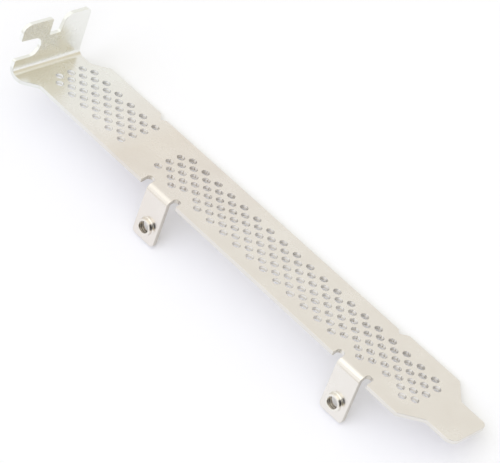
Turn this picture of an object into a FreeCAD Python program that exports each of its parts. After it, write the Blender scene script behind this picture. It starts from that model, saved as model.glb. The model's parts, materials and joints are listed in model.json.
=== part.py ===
"""Full-height expansion card bracket: one steel sheet, punched, drawn and folded.

The sheet is drawn in a working frame, in millimetres. u runs along the plate, from the back of the flange
to the end of the tongue. v runs across the plate, from the tab side, with v = 0 on the plate's centre line.
w stands out of the plate on the flange's side, and the plate's outer face is w = 0.
At the end the bracket is laid on one long edge and its two tab tips, the way it comes to rest on a table.
"""

import FreeCAD
import Part
import math
import os

# Sheet and plate
SHEET = 0.86
LENGTH = 120.02
PLATE_WIDTH = 18.42

# Head: the flange's end of the plate, stepped towards the tab side by two 45 degree shoulders
TAB_SIDE_STEP = 2.94
FAR_SIDE_STEP = 3.1
TAB_SIDE_SHOULDER = 3.56
FAR_SIDE_SHOULDER = 4.83
SHOULDER_RADIUS = 1.0
HEAD_CORNER_RADIUS = 1.5

# Flange: folded up from the head, with an open screw slot and an alignment notch
FLANGE_DEPTH = 11.43
FLANGE_BEND_RADIUS = 1.3
FLANGE_CORNER_RADIUS = 1.2
SCREW_SLOT_WIDTH = 4.42
SCREW_SLOT_HEIGHT = 5.1
SCREW_SLOT_REACH = 3.95
JAW_CORNER_RADIUS = 0.4
BEAK_SETBACK = 0.2
BEAK_FLARE = 0.31
BEAK_CORNER_RADIUS = 2.0
NOTCH_FROM_SIDE = 7.85
NOTCH_FLOOR_WIDTH = 3.0
NOTCH_DEPTH = 4.1
NOTCH_SPLAY = 0.7
NOTCH_CORNER_RADIUS = 0.4
NOTCH_LEAD_RADIUS = 2.0

# Foot: 45 degree tapers down to the tongue
TONGUE_WIDTH = 10.19
TONGUE_LENGTH = 6.8
TAPER_RADIUS = 0.5
TONGUE_FAR_RADIUS = 1.3
TONGUE_TAB_SIDE_RADIUS = 2.0

# Long edges: set in along the middle, between two V notches on one side and the two tabs on the other
MIDDLE_RECESS = 0.6
V_NOTCH_DEPTH = 1.51
V_NOTCH_ROOT_RADIUS = 0.2
FIRST_V_NOTCH = 25.0
SECOND_V_NOTCH_FROM_END = 25.92

# Tabs: folded down from one long edge between relief slots
FIRST_TAB = 42.5
SECOND_TAB_FROM_END = 23.47
TAB_WIDTH = 6.1
TAB_INSET = 0.1
TAB_BEND_RADIUS = 0.4
TAB_TIP_RADIUS = 1.0
RELIEF_WIDTH = 1.6
RELIEF_PAST_BEND = 1.25
RELIEF_SHIFT = 0.35
RELIEF_END_RADIUS = 0.7
RELIEF_MOUTH_RADIUS = 0.25

# Tapped collars: drawn out of the tabs, with the hole at the drill size of an M3 thread
THREAD_DROP = 8.45
THREAD_TO_TIP = 3.45
BORE_RADIUS = 1.25
COLLAR_WALL = 0.55
COLLAR_HEIGHT = 0.9
COLLAR_RIM_ROUND = 0.1
COLLAR_ROOT_FILLET = 0.3
BORE_ENTRY_ROUND = 0.4

# Vents: round holes on one staggered lattice, with a plain band across it
VENT_DIAMETER = 1.65
FIRST_VENT_ROW = 5.57
VENT_ROW_PITCH = 1.905
VENT_COLUMN_PITCH = 1.5875
VENT_EDGE_MARGIN = 4.0
VENT_TAPER_MARGIN = 0.5
VENT_RELIEF_WEB = 2.15
PLAIN_BAND_START = 27.5
PLAIN_BAND_WIDTH = 7.6

# Places worked out from the sizes above
half_width = PLATE_WIDTH / 2
head_tab_side = -half_width - TAB_SIDE_STEP
head_far_side = half_width - FAR_SIDE_STEP
flange_bend_end = SHEET + FLANGE_BEND_RADIUS
half_tongue = TONGUE_WIDTH / 2
tongue_start = LENGTH - TONGUE_LENGTH
taper_start = tongue_start - (half_width - half_tongue)
middle_half = half_width - MIDDLE_RECESS
tab_centres = [FIRST_TAB, LENGTH - SECOND_TAB_FROM_END]
half_tab = TAB_WIDTH / 2
tab_outer_face = -half_width + TAB_INSET
tab_inner_face = tab_outer_face + SHEET
tab_bend_start = tab_inner_face + TAB_BEND_RADIUS
tab_bend_end = -SHEET - TAB_BEND_RADIUS
tab_tip = -THREAD_DROP - THREAD_TO_TIP
relief_radius = RELIEF_WIDTH / 2
relief_end = tab_bend_start + RELIEF_PAST_BEND
relief_offset = half_tab + relief_radius
collar_radius = BORE_RADIUS + COLLAR_WALL
collar_root_radius = collar_radius + COLLAR_ROOT_FILLET
vent_radius = VENT_DIAMETER / 2

# A quarter turn, and the length below which a straight run is no run
RIGHT_ANGLE = math.pi / 2
SHORTEST_RUN = 1e-6


def plan(u, v):
    """Point of the plate's outer face."""
    return FreeCAD.Vector(u, v, 0)


def across(v, w):
    """Point of the cross plane at the flange's back face."""
    return FreeCAD.Vector(0, v, w)


def rounded_face(corners, place):
    """Face inside the corners (a, b, radius), where each radius is an arc that touches both of its runs.

    An arc reaches radius / tan(half the angle) along its runs, and is made smaller where they have no room.
    """
    count = len(corners)
    points = [FreeCAD.Vector(a, b, 0) for a, b, radius in corners]
    runs = [points[(i + 1) % count] - points[i] for i in range(count)]
    halves = [(-runs[i - 1]).getAngle(runs[i]) / 2 for i in range(count)]
    reaches = [corners[i][2] / math.tan(halves[i]) for i in range(count)]
    shared = [reaches[i] + reaches[(i + 1) % count] for i in range(count)]
    rooms = [runs[i].Length / max(shared[i], SHORTEST_RUN) for i in range(count)]
    edges = []
    ends = []
    for i in range(count):
        reach = reaches[i] * min(1, rooms[i - 1], rooms[i])
        back = -runs[i - 1] / runs[i - 1].Length
        ahead = runs[i] / runs[i].Length
        start = points[i] + back * reach
        end = points[i] + ahead * reach
        ends.append((start, end))
    for i, (start, end) in enumerate(ends):
        if corners[i][2] > 0:
            radius = start.distanceToPoint(points[i]) * math.tan(halves[i])
            inward = ((start + end) / 2 - points[i]).normalize()
            middle = points[i] + inward * (radius / math.sin(halves[i]) - radius)
            arc = [place(p.x, p.y) for p in (start, middle, end)]
            edges.append(Part.Arc(*arc).toShape())
        following = ends[(i + 1) % count][0]
        if end.distanceToPoint(following) > SHORTEST_RUN:
            edges.append(Part.makeLine(place(end.x, end.y), place(following.x, following.y)))
    return Part.Face(Part.Wire(edges))


def folded_quarter(centre, start_angle, inside_radius, place, along):
    """Quarter turn of the sheet about a fold line through centre, carried along the fold."""
    def turned(radius, share):
        angle = start_angle + share * RIGHT_ANGLE
        return place(centre[0] + radius * math.cos(angle), centre[1] + radius * math.sin(angle))

    outside_radius = inside_radius + SHEET
    edges = [
        Part.Arc(*[turned(inside_radius, share) for share in (0, 0.5, 1)]).toShape(),
        Part.makeLine(turned(inside_radius, 1), turned(outside_radius, 1)),
        Part.Arc(*[turned(outside_radius, share) for share in (1, 0.5, 0)]).toShape(),
        Part.makeLine(turned(outside_radius, 0), turned(inside_radius, 0)),
    ]
    return Part.Face(Part.Wire(edges)).extrude(along)


def far_edge():
    """Corners of the long edge away from the tabs, from the head to the tongue."""
    root = half_width - V_NOTCH_DEPTH
    wide_flank = V_NOTCH_DEPTH
    set_in_flank = middle_half - root
    second_v_notch = LENGTH - SECOND_V_NOTCH_FROM_END
    return [
        (flange_bend_end, head_far_side, 0),
        (FAR_SIDE_SHOULDER, head_far_side, SHOULDER_RADIUS),
        (FAR_SIDE_SHOULDER + FAR_SIDE_STEP, half_width, SHOULDER_RADIUS),
        (FIRST_V_NOTCH - wide_flank, half_width, 0),
        (FIRST_V_NOTCH, root, V_NOTCH_ROOT_RADIUS),
        (FIRST_V_NOTCH + set_in_flank, middle_half, 0),
        (second_v_notch - set_in_flank, middle_half, 0),
        (second_v_notch, root, V_NOTCH_ROOT_RADIUS),
        (second_v_notch + wide_flank, half_width, 0),
        (taper_start, half_width, TAPER_RADIUS),
        (tongue_start, half_tongue, TAPER_RADIUS),
        (LENGTH, half_tongue, TONGUE_FAR_RADIUS),
    ]


def tab_gap(centre, edge_before, edge_after):
    """Corners of one tab's two relief slots, from tongue to head; the fold starts between them.

    The slots lean: their round ends lie nearer the head than their mouths.
    """
    slot_far = half_tab + RELIEF_WIDTH
    ends = centre - RELIEF_SHIFT
    return [
        (centre + slot_far, edge_before, RELIEF_MOUTH_RADIUS),
        (ends + slot_far, relief_end, RELIEF_END_RADIUS),
        (ends + half_tab, relief_end, RELIEF_END_RADIUS),
        (centre + half_tab, tab_bend_start, 0),
        (centre - half_tab, tab_bend_start, 0),
        (ends - half_tab, relief_end, RELIEF_END_RADIUS),
        (ends - slot_far, relief_end, RELIEF_END_RADIUS),
        (centre - slot_far, edge_after, RELIEF_MOUTH_RADIUS),
    ]


def tab_edge():
    """Corners of the long edge with the tabs, from the tongue to the head."""
    first, second = tab_centres
    foot = [
        (LENGTH, -half_tongue, TONGUE_TAB_SIDE_RADIUS),
        (tongue_start, -half_tongue, TAPER_RADIUS),
        (taper_start, -half_width, TAPER_RADIUS),
    ]
    head = [
        (TAB_SIDE_SHOULDER + TAB_SIDE_STEP, -half_width, SHOULDER_RADIUS),
        (TAB_SIDE_SHOULDER, head_tab_side, HEAD_CORNER_RADIUS),
        (flange_bend_end, head_tab_side, 0),
    ]
    second_gap = tab_gap(second, -half_width, -middle_half)
    first_gap = tab_gap(first, -middle_half, -half_width)
    return foot + second_gap + first_gap + head


def vent_centres():
    """Lattice points in the plate, less the plain band and those too near a relief slot's round end."""
    relief_centres = [
        (centre - RELIEF_SHIFT + side * relief_offset, relief_end - relief_radius)
        for centre in tab_centres
        for side in (-1, 1)
    ]
    rows = int((taper_start - VENT_TAPER_MARGIN - FIRST_VENT_ROW) / VENT_ROW_PITCH) + 1
    columns = int((half_width - VENT_EDGE_MARGIN) / VENT_COLUMN_PITCH)
    least_distance = vent_radius + relief_radius + VENT_RELIEF_WEB
    centres = []
    for row in range(rows):
        u = FIRST_VENT_ROW + row * VENT_ROW_PITCH
        if PLAIN_BAND_START < u < PLAIN_BAND_START + PLAIN_BAND_WIDTH:
            continue
        for column in range(-columns, columns + 1):
            point = (u, column * VENT_COLUMN_PITCH)
            staggered = (row + column) % 2 == 0
            if staggered and min(math.dist(point, relief) for relief in relief_centres) > least_distance:
                centres.append(point)
    return centres


def plate():
    """Flat face plate with the tongue, relief slots and vents."""
    down = FreeCAD.Vector(0, 0, -1)
    sheet = rounded_face(far_edge() + tab_edge(), plan).extrude(down * SHEET)
    vents = [Part.makeCylinder(vent_radius, SHEET, plan(u, v), down) for u, v in vent_centres()]
    return sheet.cut(Part.makeCompound(vents))


def flange():
    """Fold at the head and the upright flange, with the screw slot open to the tab side."""
    slot_radius = SCREW_SLOT_WIDTH / 2
    slot_bottom = SCREW_SLOT_HEIGHT - slot_radius
    slot_top = SCREW_SLOT_HEIGHT + slot_radius
    slot_end = head_tab_side + SCREW_SLOT_REACH + slot_radius
    beak_side = head_tab_side + BEAK_SETBACK
    notch_start = head_tab_side + NOTCH_FROM_SIDE
    notch_end = notch_start + NOTCH_FLOOR_WIDTH
    notch_floor = FLANGE_DEPTH - NOTCH_DEPTH
    outline = [
        (head_tab_side, FLANGE_BEND_RADIUS, 0),
        (head_far_side, FLANGE_BEND_RADIUS, 0),
        (head_far_side, FLANGE_DEPTH, FLANGE_CORNER_RADIUS),
        (notch_end + NOTCH_SPLAY, FLANGE_DEPTH, NOTCH_LEAD_RADIUS),
        (notch_end, notch_floor, NOTCH_CORNER_RADIUS),
        (notch_start, notch_floor, NOTCH_CORNER_RADIUS),
        (notch_start, FLANGE_DEPTH, NOTCH_CORNER_RADIUS),
        (beak_side, FLANGE_DEPTH, BEAK_CORNER_RADIUS),
        (beak_side, slot_top + BEAK_FLARE, JAW_CORNER_RADIUS),
        (slot_end, slot_top, slot_radius),
        (slot_end, slot_bottom, slot_radius),
        (head_tab_side, slot_bottom, JAW_CORNER_RADIUS),
    ]
    upright = rounded_face(outline, across).extrude(FreeCAD.Vector(SHEET, 0, 0))

    def at_tab_side(u, w):
        return FreeCAD.Vector(u, head_tab_side, w)

    centre = (flange_bend_end, FLANGE_BEND_RADIUS)
    along = FreeCAD.Vector(0, head_far_side - head_tab_side, 0)
    fold = folded_quarter(centre, 2 * RIGHT_ANGLE, FLANGE_BEND_RADIUS, at_tab_side, along)
    return [upright, fold]


def collar(centre):
    """Drawn collar about the tapped hole, turned from its section (radius, height over the inner face)."""
    rim = SHEET + COLLAR_HEIGHT

    def at(radius, height):
        return FreeCAD.Vector(centre + radius, tab_inner_face - height, -THREAD_DROP)

    def arc(radius, height, size, start_angle):
        """Quarter arc of a section corner, about (radius, height), from start_angle on."""
        turns = [start_angle + share * RIGHT_ANGLE for share in (0, 0.5, 1)]
        points = [at(radius + size * math.cos(t), height + size * math.sin(t)) for t in turns]
        return Part.Arc(*points).toShape()

    def line(start, end):
        return Part.makeLine(at(*start), at(*end))

    entry = BORE_RADIUS + BORE_ENTRY_ROUND
    bore_rim = BORE_RADIUS + COLLAR_RIM_ROUND
    outer_rim = collar_radius - COLLAR_RIM_ROUND
    rim_start = rim - COLLAR_RIM_ROUND
    root_end = SHEET + COLLAR_ROOT_FILLET
    edges = [
        arc(entry, BORE_ENTRY_ROUND, BORE_ENTRY_ROUND, 2 * RIGHT_ANGLE),
        line((entry, 0), (collar_root_radius, 0)),
        line((collar_root_radius, 0), (collar_root_radius, SHEET)),
        arc(collar_root_radius, root_end, COLLAR_ROOT_FILLET, 2 * RIGHT_ANGLE),
        line((collar_radius, root_end), (collar_radius, rim_start)),
        arc(outer_rim, rim_start, COLLAR_RIM_ROUND, 0),
        line((outer_rim, rim), (bore_rim, rim)),
        arc(bore_rim, rim_start, COLLAR_RIM_ROUND, RIGHT_ANGLE),
        line((BORE_RADIUS, rim_start), (BORE_RADIUS, BORE_ENTRY_ROUND)),
    ]
    section = Part.Face(Part.Wire(Part.__sortEdges__(edges)))
    return section.revolve(at(0, 0), FreeCAD.Vector(0, 1, 0), 360)


def tab(centre):
    """One tab: its fold, the flat leg with rounded tip corners, and the collar set into the leg."""
    def on_outer_face(u, w):
        return FreeCAD.Vector(u, tab_outer_face, w)

    def at_tab_side(v, w):
        return FreeCAD.Vector(centre - half_tab, v, w)

    outline = [
        (centre - half_tab, tab_bend_end, 0),
        (centre + half_tab, tab_bend_end, 0),
        (centre + half_tab, tab_tip, TAB_TIP_RADIUS),
        (centre - half_tab, tab_tip, TAB_TIP_RADIUS),
    ]
    inward = FreeCAD.Vector(0, 1, 0)
    leg = rounded_face(outline, on_outer_face).extrude(inward * SHEET)
    seat = Part.makeCylinder(collar_root_radius, SHEET, on_outer_face(centre, -THREAD_DROP), inward)
    along = FreeCAD.Vector(TAB_WIDTH, 0, 0)
    fold = folded_quarter((tab_bend_start, tab_bend_end), RIGHT_ANGLE, TAB_BEND_RADIUS, at_tab_side, along)
    return [leg.cut(seat), fold, collar(centre)]


def laid_down(shape):
    """Turn the bracket about u until its far edge and its tab tips are level, and stand it at the origin."""
    drop = -SHEET - tab_tip
    reach = half_width - tab_inner_face
    tilt = math.degrees(math.atan2(drop, reach))
    laid = shape.rotated(FreeCAD.Vector(), FreeCAD.Vector(1, 0, 0), -tilt)
    box = laid.optimalBoundingBox(False)
    laid.translate(FreeCAD.Vector(-box.Center.x, -box.Center.y, -box.ZMin))
    return laid


pieces = flange()
for tab_centre in tab_centres:
    pieces += tab(tab_centre)
bracket = plate().fuse(pieces).removeSplitter()
if len(bracket.Solids) != 1 or not bracket.isValid():
    raise ValueError("the folded sheet is not one sound solid")
bracket = laid_down(bracket.Solids[0])

os.makedirs("parts", exist_ok=True)
bracket.exportStep("parts/bracket.step")
print("vents", len(vent_centres()), "volume", round(bracket.Volume, 2))
print("box", bracket.optimalBoundingBox(False))
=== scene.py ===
# %% [markdown]
# # An expansion card bracket
# The object is one steel sheet: punched flat, drawn up into two collars, folded in three places and plated
# with nickel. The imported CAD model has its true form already. This script makes the same form once more as a
# fine mesh, with rolled edges and real threads, gives it a plated finish, and lights it on a pale floor.

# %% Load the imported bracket
import json

import bpy
import numpy as np
from mathutils import Matrix, Vector
from mathutils.geometry import delaunay_2d_cdt


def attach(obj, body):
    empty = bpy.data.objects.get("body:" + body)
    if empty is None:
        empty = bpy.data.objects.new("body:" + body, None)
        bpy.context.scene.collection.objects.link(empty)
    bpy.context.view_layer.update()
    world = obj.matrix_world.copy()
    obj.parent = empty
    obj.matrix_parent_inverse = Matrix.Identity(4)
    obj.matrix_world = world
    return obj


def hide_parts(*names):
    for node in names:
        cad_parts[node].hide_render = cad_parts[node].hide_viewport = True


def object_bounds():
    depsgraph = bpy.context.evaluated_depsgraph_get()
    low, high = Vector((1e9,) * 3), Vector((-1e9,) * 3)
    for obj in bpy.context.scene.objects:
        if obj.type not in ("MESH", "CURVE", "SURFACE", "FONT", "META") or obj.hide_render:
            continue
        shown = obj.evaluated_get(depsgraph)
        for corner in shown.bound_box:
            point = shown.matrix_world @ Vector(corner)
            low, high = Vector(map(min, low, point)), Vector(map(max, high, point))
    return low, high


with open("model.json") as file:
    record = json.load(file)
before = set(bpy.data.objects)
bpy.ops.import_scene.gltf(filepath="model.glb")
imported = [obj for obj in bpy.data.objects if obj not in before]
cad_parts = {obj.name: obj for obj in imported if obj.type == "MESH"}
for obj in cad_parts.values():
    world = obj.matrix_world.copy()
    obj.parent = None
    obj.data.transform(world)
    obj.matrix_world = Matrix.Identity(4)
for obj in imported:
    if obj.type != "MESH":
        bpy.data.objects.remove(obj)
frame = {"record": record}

cad_low, cad_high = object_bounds()
print("CAD box in metres:", [round(x, 5) for x in (*cad_low, *cad_high)])

# %% [markdown]
# A sheet is easiest to describe in a frame of its own, in millimetres: u runs along the plate from the back
# of the flange, v runs across it from the tab side, and w stands out of its outer face. The bracket lies
# tilted on the floor, so this frame has to be turned into the model's. It could be fitted by eye, but the
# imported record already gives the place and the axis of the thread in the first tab, and that settles it.

# %% Working frame of the sheet
MILLIMETRE = 0.001
SHEET = 0.86
PLATE_WIDTH = 18.42
TAB_INSET = 0.1
FIRST_TAB = 42.5
THREAD_DROP = 8.45
COLLAR_HEIGHT = 0.9
COLLAR_RIM_ROUND = 0.1
BORE_ENTRY_ROUND = 0.4

half_width = PLATE_WIDTH / 2
tab_inner_face = -half_width + TAB_INSET + SHEET
collar_rim = SHEET + COLLAR_HEIGHT
thread_start, thread_end = BORE_ENTRY_ROUND, collar_rim - COLLAR_RIM_ROUND
thread_middle = np.array([FIRST_TAB, tab_inner_face - (thread_start + thread_end) / 2, -THREAD_DROP])

mounts = {mount["name"]: mount for mount in frame["record"]["mounts"]}
thread_mount = mounts["tab_thread_head"]
along = np.array([1.0, 0.0, 0.0])
across = np.array(thread_mount["axis"])
axes = np.stack([along, across, np.cross(along, across)])
frame_start = np.array(thread_mount["pos_m"]) / MILLIMETRE - thread_middle @ axes


def laid_down(places):
    """Working frame to model frame: the frame's start, plus u, v and w times their axes, in metres."""
    return (frame_start + places @ axes) * MILLIMETRE


print("the plate leans by", round(np.degrees(np.arcsin(-across[2])), 2), "degrees")

# %% [markdown]
# On the press, the sheet is cut flat first and folded last. The mesh is made in the same order: every point
# is described on the flat blank, by s along it, t across it and its depth under the outer face, and one map
# folds them all. The metal halfway through the sheet keeps its length in a fold, so that is how much of the
# blank each fold takes up. Folding with one map keeps edges, holes and faces joined on flat and bent metal
# alike, which bending separate plates and merging them would not.

# %% Fold the blank
LENGTH = 120.02
SECOND_TAB_FROM_END = 23.47
TAB_WIDTH = 6.1
RELIEF_WIDTH = 1.6
FLANGE_BEND_RADIUS = 1.3
TAB_BEND_RADIUS = 0.4
QUARTER_TURN = np.pi / 2

tab_centres = np.array([FIRST_TAB, LENGTH - SECOND_TAB_FROM_END])
half_tab = TAB_WIDTH / 2
relief_radius = RELIEF_WIDTH / 2
flange_fold = SHEET + FLANGE_BEND_RADIUS
flange_fold_run = (FLANGE_BEND_RADIUS + SHEET / 2) * QUARTER_TURN
tab_fold = tab_inner_face + TAB_BEND_RADIUS
tab_fold_run = (TAB_BEND_RADIUS + SHEET / 2) * QUARTER_TURN


def turned(past, run):
    """Angle and straight rest of metal that lies past a fold line.

    The angle grows evenly along the fold's run up to a quarter turn, and what is left goes straight on.
    """
    return np.clip(past / run, 0, 1) * QUARTER_TURN, np.maximum(past - run, 0)


def folded(blank, leaning):
    """Places (u, v, w) and normals of the folded sheet, from blank points and normals.

    Past the flange's fold line a point turns about a centre over the outer face, at the inside radius plus
    its depth. Past a tab's fold line it turns about a centre under the inner face, at the outside radius
    less its depth. The directions along s, along t and outwards turn with the point.
    """
    s, t, depth = np.moveaxis(blank, -1, 0)
    past_flange = np.maximum(flange_fold - s, 0)
    beside_tab = np.abs(s[..., None] - tab_centres).min(axis=-1) < half_tab + relief_radius
    past_tab = np.where(beside_tab, np.maximum(tab_fold - t, 0), 0)
    up, risen = turned(past_flange, flange_fold_run)
    down, dropped = turned(past_tab, tab_fold_run)
    flange_radius = FLANGE_BEND_RADIUS + depth
    tab_radius = TAB_BEND_RADIUS + SHEET - depth
    u = s + past_flange - flange_radius * np.sin(up)
    v = t + past_tab - tab_radius * np.sin(down)
    w = -depth + flange_radius * (1 - np.cos(up)) + risen - tab_radius * (1 - np.cos(down)) - dropped
    still = np.zeros_like(s)
    along_s = np.stack([np.cos(up), still, -np.sin(up)], axis=-1)
    along_t = np.stack([still, np.cos(down), np.sin(down)], axis=-1)
    outwards = np.stack([np.sin(up), -np.sin(down), np.cos(up) * np.cos(down)], axis=-1)
    lean_s, lean_t, lean_out = np.moveaxis(leaning[..., None], -2, 0)
    return np.stack([u, v, w], axis=-1), lean_s * along_s + lean_t * along_t + lean_out * outwards


def flange_row(height):
    """Place along the blank of a point that stands at this height on the folded flange."""
    return flange_fold - flange_fold_run - (height - FLANGE_BEND_RADIUS)


def tab_row(drop):
    """Place across the blank of a point this far below the plate's outer face on a folded tab."""
    return tab_fold - tab_fold_run - (drop - SHEET - TAB_BEND_RADIUS)


print("mm taken up by a fold: flange", round(flange_fold_run, 3), "tab", round(tab_fold_run, 3))

# %% [markdown]
# The blank's outline is a list of corners, each with the radius that its punch leaves. It starts at the head
# on the tab side, goes round the foot and comes back over the unfolded flange, with the metal on its left.
# The head is stepped sideways, each tab stands between two relief slots, the far edge has two V notches, and
# the flange has an open screw slot and an alignment notch.

# %% Corners of the foot and the long edges
TAB_SIDE_STEP = 2.94
FAR_SIDE_STEP = 3.1
TAB_SIDE_SHOULDER = 3.56
FAR_SIDE_SHOULDER = 4.83
SHOULDER_RADIUS = 1.0
HEAD_CORNER_RADIUS = 1.5
TONGUE_WIDTH = 10.19
TONGUE_LENGTH = 6.8
TAPER_RADIUS = 0.5
TONGUE_FAR_RADIUS = 1.3
TONGUE_TAB_SIDE_RADIUS = 2.0
MIDDLE_RECESS = 0.6
V_NOTCH_DEPTH = 1.51
V_NOTCH_ROOT_RADIUS = 0.2
V_NOTCH_MOUTH_RADIUS = 0.15
FIRST_V_NOTCH = 25.0
SECOND_V_NOTCH_FROM_END = 25.92
RELIEF_PAST_BEND = 1.25
RELIEF_SHIFT = 0.35
RELIEF_END_RADIUS = 0.7
TAB_ROOT_RADIUS = 0.5
RELIEF_MOUTH_RADIUS = 0.25
TAB_TIP_RADIUS = 1.0
THREAD_TO_TIP = 3.45

head_tab_side = -half_width - TAB_SIDE_STEP
head_far_side = half_width - FAR_SIDE_STEP
half_tongue = TONGUE_WIDTH / 2
tongue_start = LENGTH - TONGUE_LENGTH
taper_start = tongue_start - (half_width - half_tongue)
middle_half = half_width - MIDDLE_RECESS
relief_end = tab_fold + RELIEF_PAST_BEND
tab_tip = tab_row(THREAD_DROP + THREAD_TO_TIP)
notch_root = half_width - V_NOTCH_DEPTH
second_v_notch = LENGTH - SECOND_V_NOTCH_FROM_END
set_in_flank = middle_half - notch_root


def tab_corners(centre, edge_before, edge_after):
    """Corners of one unfolded tab and its two relief slots, whose round ends lie nearer the head."""
    slot_far = half_tab + RELIEF_WIDTH
    slot_ends = centre - RELIEF_SHIFT
    return [
        (centre - slot_far, edge_before, RELIEF_MOUTH_RADIUS),
        (slot_ends - slot_far, relief_end, RELIEF_END_RADIUS),
        (slot_ends - half_tab, relief_end, RELIEF_END_RADIUS),
        (centre - half_tab, tab_fold, TAB_ROOT_RADIUS),
        (centre - half_tab, tab_tip, TAB_TIP_RADIUS),
        (centre + half_tab, tab_tip, TAB_TIP_RADIUS),
        (centre + half_tab, tab_fold, TAB_ROOT_RADIUS),
        (slot_ends + half_tab, relief_end, RELIEF_END_RADIUS),
        (slot_ends + slot_far, relief_end, RELIEF_END_RADIUS),
        (centre + slot_far, edge_after, RELIEF_MOUTH_RADIUS),
    ]


tab_side_corners = [
    (TAB_SIDE_SHOULDER, head_tab_side, HEAD_CORNER_RADIUS),
    (TAB_SIDE_SHOULDER + TAB_SIDE_STEP, -half_width, SHOULDER_RADIUS),
    *tab_corners(tab_centres[0], -half_width, -middle_half),
    *tab_corners(tab_centres[1], -middle_half, -half_width),
    (taper_start, -half_width, TAPER_RADIUS),
    (tongue_start, -half_tongue, TAPER_RADIUS),
    (LENGTH, -half_tongue, TONGUE_TAB_SIDE_RADIUS),
]
far_side_corners = [
    (LENGTH, half_tongue, TONGUE_FAR_RADIUS),
    (tongue_start, half_tongue, TAPER_RADIUS),
    (taper_start, half_width, TAPER_RADIUS),
    (second_v_notch + V_NOTCH_DEPTH, half_width, V_NOTCH_MOUTH_RADIUS),
    (second_v_notch, notch_root, V_NOTCH_ROOT_RADIUS),
    (second_v_notch - set_in_flank, middle_half, V_NOTCH_MOUTH_RADIUS),
    (FIRST_V_NOTCH + set_in_flank, middle_half, V_NOTCH_MOUTH_RADIUS),
    (FIRST_V_NOTCH, notch_root, V_NOTCH_ROOT_RADIUS),
    (FIRST_V_NOTCH - V_NOTCH_DEPTH, half_width, V_NOTCH_MOUTH_RADIUS),
    (FAR_SIDE_SHOULDER + FAR_SIDE_STEP, half_width, SHOULDER_RADIUS),
    (FAR_SIDE_SHOULDER, head_far_side, SHOULDER_RADIUS),
]
print(len(tab_side_corners) + len(far_side_corners), "corners along the plate")

# %% Corners of the flange
FLANGE_DEPTH = 11.43
FLANGE_CORNER_RADIUS = 1.2
SCREW_SLOT_WIDTH = 4.42
SCREW_SLOT_HEIGHT = 5.1
SCREW_SLOT_REACH = 3.95
JAW_CORNER_RADIUS = 0.4
BEAK_SETBACK = 0.2
BEAK_FLARE = 0.31
BEAK_CORNER_RADIUS = 2.0
NOTCH_FROM_SIDE = 7.85
NOTCH_FLOOR_WIDTH = 3.0
NOTCH_DEPTH = 4.1
NOTCH_SPLAY = 0.7
NOTCH_CORNER_RADIUS = 0.4
NOTCH_LEAD_RADIUS = 2.0

slot_radius = SCREW_SLOT_WIDTH / 2
slot_end = head_tab_side + SCREW_SLOT_REACH + slot_radius
beak_side = head_tab_side + BEAK_SETBACK
notch_start = head_tab_side + NOTCH_FROM_SIDE
notch_end = notch_start + NOTCH_FLOOR_WIDTH
flange_edge = flange_row(FLANGE_DEPTH)
notch_floor = flange_row(FLANGE_DEPTH - NOTCH_DEPTH)
slot_top = flange_row(SCREW_SLOT_HEIGHT + slot_radius)
slot_bottom = flange_row(SCREW_SLOT_HEIGHT - slot_radius)
flange_corners = [
    (flange_edge, head_far_side, FLANGE_CORNER_RADIUS),
    (flange_edge, notch_end + NOTCH_SPLAY, NOTCH_LEAD_RADIUS),
    (notch_floor, notch_end, NOTCH_CORNER_RADIUS),
    (notch_floor, notch_start, NOTCH_CORNER_RADIUS),
    (flange_edge, notch_start, NOTCH_CORNER_RADIUS),
    (flange_edge, beak_side, BEAK_CORNER_RADIUS),
    (slot_top - BEAK_FLARE, beak_side, JAW_CORNER_RADIUS),
    (slot_top, slot_end, slot_radius),
    (slot_bottom, slot_end, slot_radius),
    (slot_bottom, head_tab_side, JAW_CORNER_RADIUS),
]
print(len(flange_corners), "corners round the flange")

# %% Walk round the outline
OUTLINE_STEP = 0.2
ARC_STEPS = 10
SAME_POINT = 1e-6


def headed(angle):
    """Unit step in a direction."""
    return np.stack([np.cos(angle), np.sin(angle)], axis=-1)


def rounded_outline(corners):
    """Points along a closed outline with rounded corners, and at each the direction into the sheet.

    A corner that turns by an angle is an arc that starts radius times the tangent of half the angle before
    it. On the arc the heading grows evenly, and a point lies radius to the side of the arc's centre. The
    runs between arcs are cut into equal steps. The direction into the sheet is the heading turned left.
    """
    place, radius = corners[:, :2], corners[:, 2:]
    leave = np.arctan2(*(np.roll(place, -1, axis=0) - place).T[::-1])
    arrive = np.roll(leave, 1)
    turn = (leave - arrive + np.pi) % (2 * np.pi) - np.pi
    swing = radius * np.sign(turn)[:, None]
    start = place - headed(arrive) * radius * np.tan(np.abs(turn) / 2)[:, None]
    centre = start + headed(arrive + QUARTER_TURN) * swing
    inward = headed(arrive[:, None] + turn[:, None] * np.linspace(0, 1, ARC_STEPS + 1) + QUARTER_TURN)
    arcs = centre[:, None] - inward * swing[:, None]
    gap = np.roll(arcs[:, 0], -1, axis=0) - arcs[:, -1]
    steps = np.maximum(1, np.ceil(np.linalg.norm(gap, axis=1) / OUTLINE_STEP)).astype(int)
    run = np.repeat(np.arange(len(corners)), steps - 1)
    share = (np.arange(len(run)) - np.searchsorted(run, run) + 1) / steps[run]
    points = np.concatenate([arcs.reshape(-1, 2), arcs[run, -1] + gap[run] * share[:, None]])
    inwards = np.concatenate([inward.reshape(-1, 2), inward[run, -1]])
    order = np.argsort(np.concatenate([
        (np.arange(len(corners))[:, None] + np.linspace(0, 0.5, ARC_STEPS + 1)).ravel(),
        run + 0.5 + share / 2,
    ]))
    points, inwards = points[order], inwards[order]
    apart = np.linalg.norm(np.roll(points, -1, axis=0) - points, axis=1) > SAME_POINT
    return points[apart], inwards[apart]


outline, outline_inward = rounded_outline(np.array(tab_side_corners + far_side_corners + flange_corners))
print("outline of", len(outline), "points")

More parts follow.
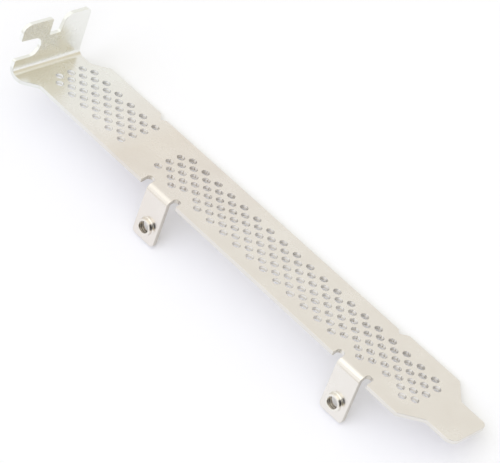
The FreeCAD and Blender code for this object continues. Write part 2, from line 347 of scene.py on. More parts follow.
# %% [markdown]
# The vents are round holes on one staggered lattice, punched in a single stroke of a gang die. A plain band
# is left across the plate, and the holes that would come too near a relief slot are left out. The whole
# lattice is one array, and a mask keeps the holes that are really there.

# %% Rings of the vents
VENT_DIAMETER = 1.65
FIRST_VENT_ROW = 5.57
VENT_ROW_PITCH = 1.905
VENT_COLUMN_PITCH = 1.5875
VENT_EDGE_MARGIN = 4.0
VENT_TAPER_MARGIN = 0.5
VENT_RELIEF_WEB = 2.15
PLAIN_BAND_START = 27.5
PLAIN_BAND_WIDTH = 7.6
VENT_SIDES = 24

vent_radius = VENT_DIAMETER / 2
row_count = int((taper_start - VENT_TAPER_MARGIN - FIRST_VENT_ROW) / VENT_ROW_PITCH) + 1
side_columns = int((half_width - VENT_EDGE_MARGIN) / VENT_COLUMN_PITCH)
row, column = np.mgrid[0:row_count, -side_columns:side_columns + 1]
lattice = np.stack([FIRST_VENT_ROW + row * VENT_ROW_PITCH, column * VENT_COLUMN_PITCH], axis=-1)
relief_centres = np.stack([
    (tab_centres[:, None] - RELIEF_SHIFT + [-half_tab - relief_radius, half_tab + relief_radius]).ravel(),
    np.full(2 * len(tab_centres), relief_end - relief_radius),
], axis=-1)
to_relief = np.linalg.norm(lattice[:, :, None] - relief_centres, axis=-1).min(axis=-1)
in_plain_band = np.abs(lattice[..., 0] - PLAIN_BAND_START - PLAIN_BAND_WIDTH / 2) < PLAIN_BAND_WIDTH / 2
staggered = (row + column) % 2 == 0
punched = staggered & ~in_plain_band & (to_relief > vent_radius + relief_radius + VENT_RELIEF_WEB)
vent_centres = lattice[punched]


def ring_directions(sides):
    """Directions round a hole, walked so that the metal stays on the left."""
    return headed(-2 * np.pi * np.arange(sides) / sides)


vent_inward = np.broadcast_to(ring_directions(VENT_SIDES), (len(vent_centres), VENT_SIDES, 2))
vent_rings = vent_centres[:, None] + vent_radius * vent_inward
print(len(vent_centres), "vents")

# %% [markdown]
# A punch drags the outer face down a little before it shears through, so every cut edge is rolled over on
# that side and nearly sharp on the other. A bevel modifier could round the edges, but it knows nothing of
# the two sides. Here the edge is a profile that is carried along each outline: a roll, the wall, and a
# smaller round where the burr was tumbled off. One row on the wall parts its upper half, which the punch
# burnished, from its lower half, where the metal tore.

# %% Carry the cut edge along the outlines
ROLL_RADIUS = 0.06
BURR_RADIUS = 0.05
BURNISHED_DEPTH = 0.4
OUTLINE_ROLL_STEPS = 3
OUTLINE_BURR_STEPS = 2
VENT_ROLL_STEPS = 2
VENT_BURR_STEPS = 1


def edge_profile(roll_steps, burr_steps):
    """Rows of a cut edge: how far each lies inside the outline, its depth, and its normal's two shares.

    The normal's angle runs from 0 on the outer face over 90 degrees on the wall to 180 on the inner face.
    A row of a round lies its radius times one less the sine inside the outline. One row between the rounds
    lies on the wall itself, where the burnished metal ends.
    """
    roll = np.linspace(0, QUARTER_TURN, roll_steps + 1)
    burr = np.linspace(QUARTER_TURN, 2 * QUARTER_TURN, burr_steps + 1)
    inset = np.concatenate([ROLL_RADIUS * (1 - np.sin(roll)), [0], BURR_RADIUS * (1 - np.sin(burr))])
    depth = np.concatenate([
        ROLL_RADIUS * (1 - np.cos(roll)), [BURNISHED_DEPTH], SHEET - BURR_RADIUS * (1 + np.cos(burr))])
    angle = np.concatenate([roll, [QUARTER_TURN], burr])
    return inset, depth, np.sin(angle), np.cos(angle)


def cut_edges(rings, inward, roll_steps, burr_steps):
    """Blank points and normals of a cut edge: each profile row carried round each ring of points."""
    inset, depth, sideways, outwards = (row[:, None] for row in edge_profile(roll_steps, burr_steps))
    flat = rings[..., None, :] + inward[..., None, :] * inset
    aside = -inward[..., None, :] * sideways
    shape = flat.shape[:-1] + (1,)
    places = np.concatenate([flat, np.broadcast_to(depth, shape)], axis=-1)
    return places, np.concatenate([aside, np.broadcast_to(outwards, shape)], axis=-1)


outline_edge = cut_edges(outline[None], outline_inward[None], OUTLINE_ROLL_STEPS, OUTLINE_BURR_STEPS)
vent_edges = cut_edges(vent_rings, vent_inward, VENT_ROLL_STEPS, VENT_BURR_STEPS)
edge_points = [places[..., 0].size for places, normals in (outline_edge, vent_edges)]
print("edge points round the blank and in the vents:", edge_points)

# %% [markdown]
# Each tab carries a collar: a punch draws the metal round a small hole up into a short tube, and a tap cuts
# an M3 thread in it. A screw modifier could sweep the thread, but then it would have to be joined to the
# tube. The whole collar is rather one grid: its section runs from the tab's outer face over the rim and down
# the bore to the inner face, and in the bore the radius also depends on the angle, which makes the helix.

# %% Draw and tap the collars
BORE_RADIUS = 1.25
COLLAR_WALL = 0.55
COLLAR_ROOT_FILLET = 0.3
THREAD_PITCH = 0.5
THREAD_RADIUS = 1.5
CREST_FLAT = 0.25
ROOT_FLAT = 0.125
THREAD_FADE = 0.1
COLLAR_SIDES = 72
FILLET_STEPS = 7
RIM_STEPS = 4
ROWS_PER_PITCH = 16

collar_radius = BORE_RADIUS + COLLAR_WALL
collar_root = collar_radius + COLLAR_ROOT_FILLET
entry_radius = BORE_RADIUS + BORE_ENTRY_ROUND
thread_turns = (thread_end - thread_start) / THREAD_PITCH


def arc_of_section(radius, height, size, start, end, steps):
    """Quarter arc of the collar's section about (radius, height), from one angle to another."""
    angle = np.linspace(start, end, steps + 1) * QUARTER_TURN
    return np.stack([radius + size * np.cos(angle), height + size * np.sin(angle)], axis=-1)


def collar_section():
    """Section of a collar from root to bore entry: radius, and height over the tab's inner face."""
    bore_rows = int(np.ceil(thread_turns * ROWS_PER_PITCH))
    bore = np.linspace(thread_end, thread_start, bore_rows + 1)[1:-1]
    return np.concatenate([
        arc_of_section(collar_root, SHEET + COLLAR_ROOT_FILLET, COLLAR_ROOT_FILLET, -1, -2, FILLET_STEPS),
        arc_of_section(collar_radius - COLLAR_RIM_ROUND, thread_end, COLLAR_RIM_ROUND, 0, 1, RIM_STEPS),
        arc_of_section(BORE_RADIUS + COLLAR_RIM_ROUND, thread_end, COLLAR_RIM_ROUND, 1, 2, RIM_STEPS),
        np.stack([np.full_like(bore, BORE_RADIUS), bore], axis=-1),
        arc_of_section(entry_radius, BORE_ENTRY_ROUND, BORE_ENTRY_ROUND, 2, 3, FILLET_STEPS),
    ])


def thread_cut(angle, height):
    """Depth of the thread in the bore's wall.

    The turns made so far are the height over the pitch less the angle over a full turn, so a groove climbs
    one pitch a turn. Within a turn the depth is a triangle wave, cut off flat at its crest and its root. It
    fades out at both ends of the bore.
    """
    turns = height / THREAD_PITCH - angle / (2 * np.pi)
    wave = 1 - np.abs(2 * (turns % 1) - 1)
    groove = np.clip((wave - CREST_FLAT) / (1 - CREST_FLAT - ROOT_FLAT), 0, 1)
    inside = np.minimum(height - thread_start, thread_end - height)
    return groove * np.clip(inside / THREAD_FADE, 0, 1) * (THREAD_RADIUS - BORE_RADIUS)


section_radius, section_height = collar_section().T
collar_directions = ring_directions(COLLAR_SIDES)
collar_angle = np.arctan2(collar_directions[:, 1], collar_directions[:, 0])
in_bore = np.isclose(section_radius, BORE_RADIUS)
collar_wall = section_radius + in_bore * thread_cut(collar_angle[:, None], section_height)
thread_row = tab_row(THREAD_DROP)
ring_centres = np.stack([tab_centres, np.full_like(tab_centres, thread_row)], axis=-1)
collar_flat = ring_centres[:, None, None] + collar_wall[..., None] * collar_directions[:, None]
collar_height = np.broadcast_to(section_height[:, None], collar_flat.shape[:-1] + (1,))
collar_places = np.concatenate([collar_flat, SHEET - collar_height], axis=-1)
print("collars of", len(section_radius), "rows, with", round(thread_turns, 1), "turns")

# %% Normals of the collars
# The normal is the cross product of the step down the section and the step round the ring. At both ends it
# is the tab's own, so the collar runs into the tab without a crease.
stepped = np.concatenate([collar_flat, collar_height], axis=-1)
down_section = np.gradient(stepped, axis=-2)
round_ring = np.roll(stepped, -1, axis=-3) - np.roll(stepped, 1, axis=-3)
collar_normals = np.cross(down_section, round_ring)
collar_normals /= np.linalg.norm(collar_normals, axis=-1, keepdims=True)
collar_normals[..., 0, :] = (0, 0, 1)
collar_normals[..., -1, :] = (0, 0, -1)
collars = (collar_places, collar_normals)
print("steepest collar normal:", round(float(np.abs(collar_normals[..., 2]).min()), 4))

# %% [markdown]
# The two faces of the sheet fill the room between the outline, the vents and the collars. A grid can't
# follow so many holes, so the rings' own points are joined by a constrained Delaunay triangulation on the
# flat blank, and no point is added that would leave a gap. Only the three folds get rows of extra points,
# because there the flat triangles have to bend.

# %% Rows of points for the folds
FOLD_ROWS = 12
FOLD_COLUMN = 0.5
FOLD_MARGIN = 0.4


def fold_points(first_row, last_row, first_end, last_end):
    """Grid over a fold: rows across the bend, and columns along it that keep clear of its ends."""
    columns = int((last_end - first_end - 2 * FOLD_MARGIN) / FOLD_COLUMN)
    return np.stack(np.meshgrid(
        np.linspace(first_row, last_row, FOLD_ROWS + 1),
        np.linspace(first_end + FOLD_MARGIN, last_end - FOLD_MARGIN, columns + 1),
    ), axis=-1).reshape(-1, 2)


flange_fold_points = fold_points(flange_fold - flange_fold_run, flange_fold, head_tab_side, head_far_side)
tab_fold_points = [
    fold_points(tab_fold - tab_fold_run, tab_fold, centre - half_tab, centre + half_tab)[:, ::-1]
    for centre in tab_centres
]
fold_rows = np.concatenate([flange_fold_points, *tab_fold_points])


def fold_face(depth, outwards):
    """The folds' points on one face of the sheet, with that face's normal."""
    places = np.column_stack([fold_rows, np.full(len(fold_rows), depth)])
    return places, np.broadcast_to([0.0, 0.0, outwards], places.shape)


outer_folds, inner_folds = fold_face(0.0, 1.0), fold_face(SHEET, -1.0)
print(len(fold_rows), "points in the folds of each face")

# %% Number every point once
blocks = [outline_edge, vent_edges, collars, outer_folds, inner_folds]
block_sizes = [places[..., 0].size for places, normals in blocks]
block_starts = np.concatenate([[0], np.cumsum(block_sizes)])
numbers = [
    start + np.arange(size).reshape(places.shape[:-1])
    for (places, normals), start, size in zip(blocks, block_starts, block_sizes)
]
blank_places = np.concatenate([places.reshape(-1, 3) for places, normals in blocks])
blank_normals = np.concatenate([normals.reshape(-1, 3) for places, normals in blocks])
outline_numbers, vent_numbers, collar_numbers, outer_fold_numbers, inner_fold_numbers = numbers
print("points in all:", len(blank_places))


# %% Fill the two faces
def ring_edges(rings, start):
    """Edges of closed rings of equal length, numbered in order from a start: each point to the next."""
    ids = start + np.arange(rings.size).reshape(rings.shape)
    return np.stack([ids, np.roll(ids, -1, axis=-1)], axis=-1).reshape(-1, 2)


def filled_face(outline_ring, vents, bores, loose):
    """Triangles of one face of the blank, given by the numbers of the points on its rings.

    All rings are held as fixed edges. A triangle with all its corners on one hole's ring lies in that hole
    and is dropped, because every hole is round.
    """
    groups = [outline_ring[None], vents, bores]
    used = np.concatenate([group.ravel() for group in groups] + [loose])
    starts = np.cumsum([0] + [group.size for group in groups])
    edges = np.concatenate([ring_edges(group, start) for group, start in zip(groups, starts)])
    hole = np.zeros(len(used), dtype=int)
    hole[starts[1]:starts[2]] = 1 + np.arange(vents.size) // vents.shape[1]
    hole[starts[2]:starts[3]] = 1 + len(vents) + np.arange(bores.size) // bores.shape[1]
    flat = [Vector(point) for point in blank_places[used, :2].tolist()]
    made, _, triangles, sources, _, _ = delaunay_2d_cdt(flat, edges.tolist(), [], 1, SAME_POINT)
    source = np.array([found[0] for found in sources])
    corners = source[np.array(triangles)]
    in_hole = (hole[corners] == hole[corners][:, :1]).all(axis=1) & (hole[corners[:, 0]] > 0)
    print("face of", (~in_hole).sum(), "triangles;", len(made) - len(used), "points added")
    return used[corners[~in_hole]]


outer_face = filled_face(
    outline_numbers[0, :, 0], vent_numbers[..., 0], collar_numbers[..., 0], outer_fold_numbers)
inner_face = filled_face(
    outline_numbers[0, :, -1], vent_numbers[..., -1], collar_numbers[..., -1], inner_fold_numbers)[:, ::-1]

# %% [markdown]
# Now the blank is folded, laid down in the model's frame and put into one mesh. Its normals are set from the
# formulas rather than averaged from the faces, so that the flat metal shades flat right up to the rolled
# edges. The flat pattern is kept as a UV map, because marks from the rolling mill follow the blank.


# %% Fold the blank and make the mesh
def wrapped_quads(grid):
    """Quads of point grids (ring, along, row) that close on themselves along each ring, facing outwards."""
    ahead = np.roll(grid, -1, axis=1)
    return np.stack([grid[..., :-1], grid[..., 1:], ahead[..., 1:], ahead[..., :-1]], axis=-1).reshape(-1, 4)


# The finishes carry painted light: the plain cut edges are a darker copy as painted shade, the flange's edges
# a lighter copy as a painted highlight, and torn walls and threads are darkened as painted shade.
FACE_FINISH, EDGE_FINISH, FLANGE_EDGE_FINISH, TORN_FINISH, COLLAR_FINISH, THREAD_FINISH = range(6)
FOOTWARD = 0.3

to_tab = np.abs(outline[:, :1] - tab_centres).min(axis=1)
round_tab = to_tab < half_tab + RELIEF_WIDTH + RELIEF_SHIFT
on_flange = outline[:, 0] < flange_fold - flange_fold_run
far_edge = outline[:, 1] > 0
faces_foot = -outline_inward[:, 0] > FOOTWARD
# Edges on the foot side round the tabs get the torn walls' darker colour as painted shade.
outline_finish = np.select(
    [round_tab & faces_foot & ~far_edge, on_flange], [TORN_FINISH, FLANGE_EDGE_FINISH], EDGE_FINISH)
# Low in the vents, the torn half of the wall is partly duller metal and partly painted shade.
vent_finish = np.repeat([EDGE_FINISH, TORN_FINISH], [VENT_ROLL_STEPS + 1, 1 + VENT_BURR_STEPS])
# The bore gets the thread's darker colour, painted shade.
collar_finish = np.where(in_bore[:-1] & in_bore[1:], THREAD_FINISH, COLLAR_FINISH)
outline_quads, vent_quads, collar_quads = map(wrapped_quads, (outline_numbers, vent_numbers, collar_numbers))
quads = np.concatenate([outline_quads, vent_quads, collar_quads])
triangles = np.concatenate([outer_face, inner_face])
finish = np.concatenate([
    np.repeat(outline_finish, len(outline_quads) // len(outline_finish)),
    np.tile(vent_finish, len(vent_quads) // len(vent_finish)),
    np.tile(collar_finish, len(collar_quads) // len(collar_finish)),
    np.full(len(triangles), FACE_FINISH),
])

sheet_places, sheet_normals = folded(blank_places, blank_normals)
model_places = laid_down(sheet_places)
model_normals = sheet_normals @ axes

mesh = bpy.data.meshes.new("folded_bracket")
corner_points = np.concatenate([quads.ravel(), triangles.ravel()])
corner_starts = np.concatenate([4 * np.arange(len(quads)), quads.size + 3 * np.arange(len(triangles))])
mesh.vertices.add(len(model_places))
mesh.loops.add(len(corner_points))
mesh.polygons.add(len(finish))
mesh.vertices.foreach_set("co", model_places.ravel())
mesh.loops.foreach_set("vertex_index", corner_points)
mesh.polygons.foreach_set("loop_start", corner_starts)
mesh.polygons.foreach_set("material_index", finish)
mesh.polygons.foreach_set("use_smooth", np.ones(len(finish), dtype=bool))
mesh.uv_layers.new(name="flat_pattern").data.foreach_set(
    "uv", (blank_places[corner_points, :2] / LENGTH).ravel())
mesh.update(calc_edges=True)
mesh.normals_split_custom_set_from_vertices(model_normals)
print("triangles:", 2 * len(quads) + len(triangles))

# %% Check that the sheet is closed and faces outwards
corner_ends = np.concatenate([np.roll(quads, -1, axis=1).ravel(), np.roll(triangles, -1, axis=1).ravel()])
sides = np.sort(np.stack([corner_points, corner_ends], axis=-1), axis=1)
shared_by = np.unique(sides, axis=0, return_counts=True)[1]
face_normals = np.empty(3 * len(finish))
mesh.polygons.foreach_get("normal", face_normals)
agree = (face_normals.reshape(-1, 3) * model_normals[corner_points[corner_starts]]).sum(axis=1)
print("open or doubled sides:", (shared_by != 2).sum(), "faces turned in:", (agree < 0).sum())

bracket = bpy.data.objects.new("folded_bracket", mesh)
bpy.context.scene.collection.objects.link(bracket)
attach(bracket, "root")
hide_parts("bracket")

# %% [markdown]
# The finish is satin nickel on steel: a pale, slightly warm metal, neither mirror nor matt. Plating is never
# quite even, so its tone and its gloss vary in soft clouds, and under it lies a fine grain from the pickled
# steel. A painted reflection tone also runs along the sheet: whiter and cooler at the head, warmer and a shade
# darker over the plain band, standing in for the reflections that fall there. Faces, cut edges, torn walls,
# collars and threads share that plating, so it is one node group, placed in each of their materials with
# values of its own.


# %% Node helpers
MIX_FACTOR, MIX_FIRST, MIX_SECOND, MIX_COLOUR = 0, 6, 7, 2


def add_node(tree, kind, place, **values):
    """Node of a kind at a place in the editor, with the named input sockets set."""
    node = tree.nodes.new(kind)
    node.location = place
    for name, value in values.items():
        node.inputs[name.replace("_", " ")].default_value = value
    return node


def blended(tree, place, factor, first, second):
    """Colour mix from the first to the second as the factor grows; each is a socket or a plain colour."""
    mix = tree.nodes.new("ShaderNodeMix")
    mix.data_type = "RGBA"
    mix.location = place
    for number, source in ((MIX_FACTOR, factor), (MIX_FIRST, first), (MIX_SECOND, second)):
        socket = mix.inputs[number]
        if isinstance(source, bpy.types.NodeSocket):
            tree.links.new(source, socket)
        else:
            socket.default_value = source
    return mix.outputs[MIX_COLOUR]


def add_ramp(tree, place, stops):
    """Colour ramp through these stops, each a position from 0 to 1 and its colour."""
    ramp = tree.nodes.new("ShaderNodeValToRGB")
    ramp.location = place
    elements = ramp.color_ramp.elements
    for position in list(stops)[2:]:
        elements.new(position)
    for element, (position, colour) in zip(elements, stops.items()):
        element.position = position
        element.color = (*colour, 1)
    return ramp


# %% Plating node group
CLOUD_SCALE = 140.0
CLOUD_LOW, CLOUD_HIGH = 0.3, 0.7
GRAIN_SCALE = 5200.0
GRAIN_SHARE = 0.4
# Painted reflection tone along the sheet, from head to foot: whiter and cooler at the head, warmer and darker
# over the plain band.
TONE_DRIFT = {
    0.09: (1.03, 1.07, 1.105),
    0.19: (1.015, 1.02, 1.04),
    0.25: (0.975, 0.95, 0.935),
    0.38: (0.97, 0.955, 0.965),
    0.5: (0.99, 0.99, 1.0),
}

plating = bpy.data.node_groups.new("nickel plating and painted reflection tone", "ShaderNodeTree")
for way, kind, names in (
    ("INPUT", "NodeSocketColor", ("Bright", "Dull")),
    ("INPUT", "NodeSocketFloat", ("Smoothest", "Roughest")),
    ("OUTPUT", "NodeSocketColor", ("Colour",)),
    ("OUTPUT", "NodeSocketFloat", ("Roughness", "Height")),
):
    for name in names:
        plating.interface.new_socket(name, in_out=way, socket_type=kind)
given = plating.nodes.new("NodeGroupInput")
given.location = (-600, -200)
handed = plating.nodes.new("NodeGroupOutput")
handed.location = (600, 0)
place_on_sheet = add_node(plating, "ShaderNodeTexCoord", (-800, 200))
clouds = add_node(plating, "ShaderNodeTexNoise", (-400, 300), Scale=CLOUD_SCALE, Detail=4.0, Roughness=0.6)
grain = add_node(plating, "ShaderNodeTexNoise", (-400, 0), Scale=GRAIN_SCALE, Detail=2.0, Roughness=0.5)
cloud_reach = add_node(
    plating, "ShaderNodeMapRange", (-150, 300), From_Min=CLOUD_LOW, From_Max=CLOUD_HIGH)
gloss = add_node(plating, "ShaderNodeMapRange", (150, -100))
shared = plating.nodes.new("ShaderNodeMix")
shared.location = (-100, 0)
shared.inputs[MIX_FACTOR].default_value = GRAIN_SHARE
link = plating.links.new
link(place_on_sheet.outputs["Object"], clouds.inputs["Vector"])
link(place_on_sheet.outputs["Object"], grain.inputs["Vector"])
link(clouds.outputs["Fac"], cloud_reach.inputs["Value"])
link(cloud_reach.outputs["Result"], shared.inputs[2])
link(grain.outputs["Fac"], shared.inputs[3])
link(shared.outputs[0], gloss.inputs["Value"])
link(given.outputs["Smoothest"], gloss.inputs["To Min"])
link(given.outputs["Roughest"], gloss.inputs["To Max"])
tone = blended(
    plating, (200, 200), cloud_reach.outputs["Result"], given.outputs["Dull"], given.outputs["Bright"])
place_parts = add_node(plating, "ShaderNodeSeparateXYZ", (-600, 600))
along_sheet = add_node(
    plating, "ShaderNodeMapRange", (-400, 600), From_Min=float(cad_low[0]), From_Max=float(cad_high[0]))
# This ramp paints the reflection tone along the sheet onto the plating colour.
drift = add_ramp(plating, (-200, 600), TONE_DRIFT)
tinted = plating.nodes.new("ShaderNodeVectorMath")
tinted.operation = "MULTIPLY"
tinted.location = (400, 300)
link(place_on_sheet.outputs["Object"], place_parts.inputs[0])
link(place_parts.outputs["X"], along_sheet.inputs["Value"])
link(along_sheet.outputs["Result"], drift.inputs[0])
link(drift.outputs["Color"], tinted.inputs[0])
link(tone, tinted.inputs[1])
link(tinted.outputs[0], handed.inputs["Colour"])
link(gloss.outputs["Result"], handed.inputs["Roughness"])
link(grain.outputs["Fac"], handed.inputs["Height"])
print("plating group with", len(plating.nodes), "nodes")

# %% [markdown]
# The faces also keep faint lines from the rolling mill, which run along the blank and turn with it over the
# folds. They are a noise stretched along the flat pattern's UV map, and only tilt the surface a little. Cut
# edges are burnished by the die and smoother. Their colours carry painted light: a darker copy on the plate's
# edges and the vents' lips is painted shade, and a lighter copy on the flange's edges is a painted highlight.
# The walls low in the holes, where the metal tore, are partly duller torn metal and partly painted shade; the
# edges on the foot side round the tabs get the same dark colour as painted shade.


# %% Plated materials
BUMP_STRENGTH = 0.15
BUMP_DISTANCE = 0.00002
MILL_LINES = (12, 900, 1)
EVEN_SPECKS = (900, 900, 1)


def plated(name, bright, dull, smoothest, roughest, line_scale, line_height):
    """Material of the plating group, with a stretched noise of lines added to its height."""
    material = bpy.data.materials.new(name)
    material.use_nodes = True
    tree = material.node_tree
    shader = tree.nodes["Principled BSDF"]
    shader.inputs["Metallic"].default_value = 1.0
    coat = tree.nodes.new("ShaderNodeGroup")
    coat.node_tree = plating
    coat.location = (-700, 200)
    coat.inputs["Bright"].default_value = (*bright, 1)
    coat.inputs["Dull"].default_value = (*dull, 1)
    coat.inputs["Smoothest"].default_value = smoothest
    coat.inputs["Roughest"].default_value = roughest
    pattern = add_node(tree, "ShaderNodeUVMap", (-1300, -200))
    pattern.uv_map = "flat_pattern"
    stretch = add_node(tree, "ShaderNodeMapping", (-1100, -200), Scale=line_scale)
    lines = add_node(tree, "ShaderNodeTexNoise", (-900, -200), Scale=1.0, Detail=3.0, Roughness=0.55)
    summed = tree.nodes.new("ShaderNodeMath")
    summed.operation = "MULTIPLY_ADD"
    summed.location = (-500, -100)
    summed.inputs[1].default_value = line_height
    relief = add_node(tree, "ShaderNodeBump", (-300, -100), Strength=BUMP_STRENGTH, Distance=BUMP_DISTANCE)
    tree.links.new(pattern.outputs["UV"], stretch.inputs["Vector"])
    tree.links.new(stretch.outputs["Vector"], lines.inputs["Vector"])
    tree.links.new(lines.outputs["Fac"], summed.inputs[0])
    tree.links.new(coat.outputs["Height"], summed.inputs[2])
    tree.links.new(summed.outputs[0], relief.inputs["Height"])
    tree.links.new(coat.outputs["Colour"], shader.inputs["Base Color"])
    tree.links.new(coat.outputs["Roughness"], shader.inputs["Roughness"])
    tree.links.new(relief.outputs["Normal"], shader.inputs["Normal"])
    return material


finishes = {
    FACE_FINISH: (
        "satin nickel face", (0.89, 0.865, 0.815), (0.86, 0.83, 0.78), 0.20, 0.32, MILL_LINES, 1.5),
    # Darker than the face: painted shade on the cut edges.
    EDGE_FINISH: (
        "sheared nickel edge", (0.82, 0.80, 0.755), (0.78, 0.76, 0.715), 0.10, 0.20, EVEN_SPECKS, 0.5),
    # Lighter copy of the cut edge: a painted highlight on the flange's edges.
    FLANGE_EDGE_FINISH: (
        "flange edge", (0.93, 0.91, 0.865), (0.90, 0.88, 0.83), 0.10, 0.20, EVEN_SPECKS, 0.5),
    # Torn walls: darker, partly duller torn metal and partly painted shade.
    TORN_FINISH: ("torn wall", (0.70, 0.67, 0.60), (0.62, 0.59, 0.52), 0.12, 0.24, EVEN_SPECKS, 1.0),
    COLLAR_FINISH: (
        "drawn collar", (0.88, 0.855, 0.80), (0.84, 0.815, 0.76), 0.05, 0.12, EVEN_SPECKS, 0.0),
    # Threads darkened as painted shade in the bore.
    THREAD_FINISH: (
        "tapped thread", (0.58, 0.54, 0.47), (0.50, 0.46, 0.40), 0.10, 0.18, EVEN_SPECKS, 1.0),
}
for slot in sorted(finishes):
    mesh.materials.append(plated(*finishes[slot]))
print("finishes:", [material.name for material in mesh.materials])

# %% [markdown]
# The bracket lies on a plain white table in soft light. A ring of lamps could give it, but a world whose
# colour changes with direction has no hard rims: bluish on the tab side, weaker and warm on the far side
# and dim at the horizon. On the open table the two sides add up to white, and where the bracket keeps one
# of them off, its shadow turns faintly cool. One wide softbox overhead adds a little shape.
#
# Metal shows its surroundings more than its own colour, so reflections see a studio of their own: a pale
# warm wall all round, a whiter ceiling, and a dark patch where the camera stands, which makes the black
# crescents on the collars. The camera sees plain white past the table.


# %% Floor
def any_ray(tree, place, *kinds):
    """Socket that is 1 for light rays of any of these kinds, and 0 for the rest."""
    rays = add_node(tree, "ShaderNodeLightPath", place)
    found = rays.outputs[kinds[0]]
    for step, kind in enumerate(kinds[1:], 1):
        either = add_node(tree, "ShaderNodeMath", (place[0] + 200 * step, place[1]))
        either.operation = "MAXIMUM"
        tree.links.new(found, either.inputs[0])
        tree.links.new(rays.outputs[kind], either.inputs[1])
        found = either.outputs[0]
    return found


FLOOR_HALF = 2.0
TABLE_COLOUR = (0.96, 0.96, 0.96, 1)
TABLE_ROUGHNESS = 0.9
TABLE_GLOW = 0.15
WHITE = (1, 1, 1, 1)

floor_mesh = bpy.data.meshes.new("floor")
floor_corners = FLOOR_HALF * np.array([[-1, -1, 0], [1, -1, 0], [1, 1, 0], [-1, 1, 0]])
floor_mesh.from_pydata(floor_corners.tolist(), [], [(0, 1, 2, 3)])
floor = bpy.data.objects.new("floor", floor_mesh)
bpy.context.scene.collection.objects.link(floor)
table_top = bpy.data.materials.new("white table")
table_top.use_nodes = True
table_shader = table_top.node_tree.nodes["Principled BSDF"]
table_shader.inputs["Base Color"].default_value = TABLE_COLOUR
table_shader.inputs["Roughness"].default_value = TABLE_ROUGHNESS
table_shader.inputs["Specular IOR Level"].default_value = 0.0
top = table_top.node_tree
glow = add_node(top, "ShaderNodeEmission", (0, -300), Color=WHITE, Strength=1.0)
lit = top.nodes.new("ShaderNodeMixShader")
lit.location = (300, 0)
share = top.nodes.new("ShaderNodeMath")
share.operation = "MULTIPLY"
share.location = (100, 300)
share.inputs[1].default_value = TABLE_GLOW
in_sight = any_ray(top, (-700, 300), "Is Camera Ray", "Is Glossy Ray", "Is Transmission Ray")
top.links.new(in_sight, share.inputs[0])
top.links.new(share.outputs[0], lit.inputs[0])
top.links.new(table_shader.outputs[0], lit.inputs[1])
top.links.new(glow.outputs[0], lit.inputs[2])
top.links.new(lit.outputs[0], top.nodes["Material Output"].inputs["Surface"])
floor_mesh.materials.append(table_top)
print("floor of", 2 * FLOOR_HALF, "metres")

# %% World
TAB_SIDE_FILL = (1.40, 1.42, 1.74, 1)
FAR_SIDE_FILL = (0.80, 0.78, 0.52, 1)
HORIZON_FILL = (0.03, 0.03, 0.03, 1)
LOW_SKY = {
    -0.54: (0.88, 0.87, 0.83),
    -0.45: (0.868, 0.842, 0.79),
    -0.25: (0.86, 0.835, 0.775),
    0.25: (0.69, 0.62, 0.46),
}
HIGH_SKY = (1.06, 1.05, 1.01, 1)
DARK_CAMERA = (0.03, 0.03, 0.035, 1)
CAMERA_SIDE = (0.711, -0.462, 0.530)
DARK_RIM, DARK_CORE = 0.83, 0.91
CEILING_START, CEILING_FULL = 0.25, 0.5
FULL_FILL_HEIGHT = 0.6

world = bpy.data.worlds.new("studio")
world.use_nodes = True
bpy.context.scene.world = world
sky = world.node_tree
direction = add_node(sky, "ShaderNodeTexCoord", (-1500, 0))
parts = add_node(sky, "ShaderNodeSeparateXYZ", (-1300, 0))
sideways = add_node(sky, "ShaderNodeMapRange", (-1100, 200), From_Min=-1.0, From_Max=1.0)
upwards = add_node(
    sky, "ShaderNodeMapRange", (-1100, -100), From_Min=CEILING_START, From_Max=CEILING_FULL)
across_floor = add_node(sky, "ShaderNodeMapRange", (-1100, 500), From_Min=-1.0, From_Max=1.0)
over_horizon = add_node(sky, "ShaderNodeMapRange", (-1100, 800), From_Max=FULL_FILL_HEIGHT)
facing_camera = sky.nodes.new("ShaderNodeVectorMath")
facing_camera.operation = "DOT_PRODUCT"
facing_camera.location = (-1300, -400)
facing_camera.inputs[1].default_value = CAMERA_SIDE
behind_camera = add_node(
    sky, "ShaderNodeMapRange", (-1100, -400), From_Min=DARK_RIM, From_Max=DARK_CORE)
horizon = add_ramp(sky, (-900, 200), {(side + 1) / 2: colour for side, colour in LOW_SKY.items()})
sky.links.new(direction.outputs["Generated"], parts.inputs[0])
sky.links.new(direction.outputs["Generated"], facing_camera.inputs[0])
sky.links.new(parts.outputs["X"], sideways.inputs["Value"])
sky.links.new(parts.outputs["Y"], across_floor.inputs["Value"])
sky.links.new(parts.outputs["Z"], over_horizon.inputs["Value"])
sky.links.new(parts.outputs["Z"], upwards.inputs["Value"])
sky.links.new(facing_camera.outputs["Value"], behind_camera.inputs["Value"])
sky.links.new(sideways.outputs["Result"], horizon.inputs[0])
vault = blended(sky, (-600, 100), upwards.outputs["Result"], horizon.outputs["Color"], HIGH_SKY)
mirrored = blended(sky, (-400, 0), behind_camera.outputs["Result"], vault, DARK_CAMERA)
fill = blended(sky, (-600, 500), across_floor.outputs["Result"], TAB_SIDE_FILL, FAR_SIDE_FILL)
fill = blended(sky, (-400, 500), over_horizon.outputs["Result"], HORIZON_FILL, fill)
lighting = blended(sky, (-200, 0), any_ray(sky, (-500, 700), "Is Glossy Ray"), fill, mirrored)
seen = any_ray(sky, (-500, 300), "Is Camera Ray", "Is Transmission Ray")
shown = blended(sky, (0, 100), seen, lighting, WHITE)
sky.links.new(shown, sky.nodes["Background"].inputs["Color"])
print("world with", len(sky.nodes), "nodes")

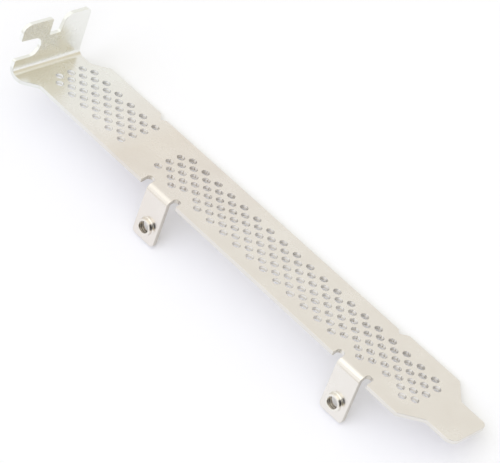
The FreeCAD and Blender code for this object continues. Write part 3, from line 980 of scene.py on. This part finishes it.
# %% Softbox, turned to face the bracket
SOFTBOX_PLACE = Vector((0.0, 0.25, 1.4))
SOFTBOX_SIZE = 1.5
SOFTBOX_POWER = 2.2
SOFTBOX_COLOUR = (1.0, 0.98, 0.86)

softbox_light = bpy.data.lights.new("overhead_softbox", "AREA")
softbox_light.size = SOFTBOX_SIZE
softbox_light.energy = SOFTBOX_POWER
softbox_light.color = SOFTBOX_COLOUR
softbox = bpy.data.objects.new("overhead_softbox", softbox_light)
softbox.location = SOFTBOX_PLACE
softbox.rotation_euler = (-SOFTBOX_PLACE).to_track_quat("-Z", "Y").to_euler()
bpy.context.scene.collection.objects.link(softbox)
print("softbox of", SOFTBOX_SIZE, "metres")

# %% [markdown]
# The camera looks down steeply from the tongue's end through a long lens, slightly rolled, so that the
# bracket runs across the picture from corner to corner.

# %% Camera
CAMERA_AIM = np.array([-0.003574, 0.003724, 0.0])
CAMERA_DISTANCE = 0.485942
CAMERA_LENS = 178.85
CAMERA_SENSOR = 36.0
CAMERA_NEAR = 0.01
CAMERA_TURNS = (59.78918, 59.76119, -13.82814)

azimuth, elevation, roll = np.radians(CAMERA_TURNS)
level_back = np.array([np.sin(azimuth), -np.cos(azimuth), 0.0])
backward = level_back * np.cos(elevation) + np.array([0.0, 0.0, np.sin(elevation)])
level_right = np.array([np.cos(azimuth), np.sin(azimuth), 0.0])
level_up = np.cross(backward, level_right)
right = level_right * np.cos(roll) + level_up * np.sin(roll)
camera_data = bpy.data.cameras.new("camera")
camera_data.sensor_fit = "HORIZONTAL"
camera_data.sensor_width = CAMERA_SENSOR
camera_data.lens = CAMERA_LENS
camera_data.clip_start = CAMERA_NEAR
camera = bpy.data.objects.new("camera", camera_data)
turned_camera = Matrix(np.column_stack([right, np.cross(backward, right), backward]).tolist()).to_4x4()
camera.matrix_world = Matrix.Translation(CAMERA_AIM + CAMERA_DISTANCE * backward) @ turned_camera
bpy.context.scene.collection.objects.link(camera)
bpy.context.scene.camera = camera
bpy.context.scene.view_settings.view_transform = "Standard"
print("camera at", [round(x, 4) for x in camera.matrix_world.translation])

# %% Update the scene
bpy.context.view_layer.update()
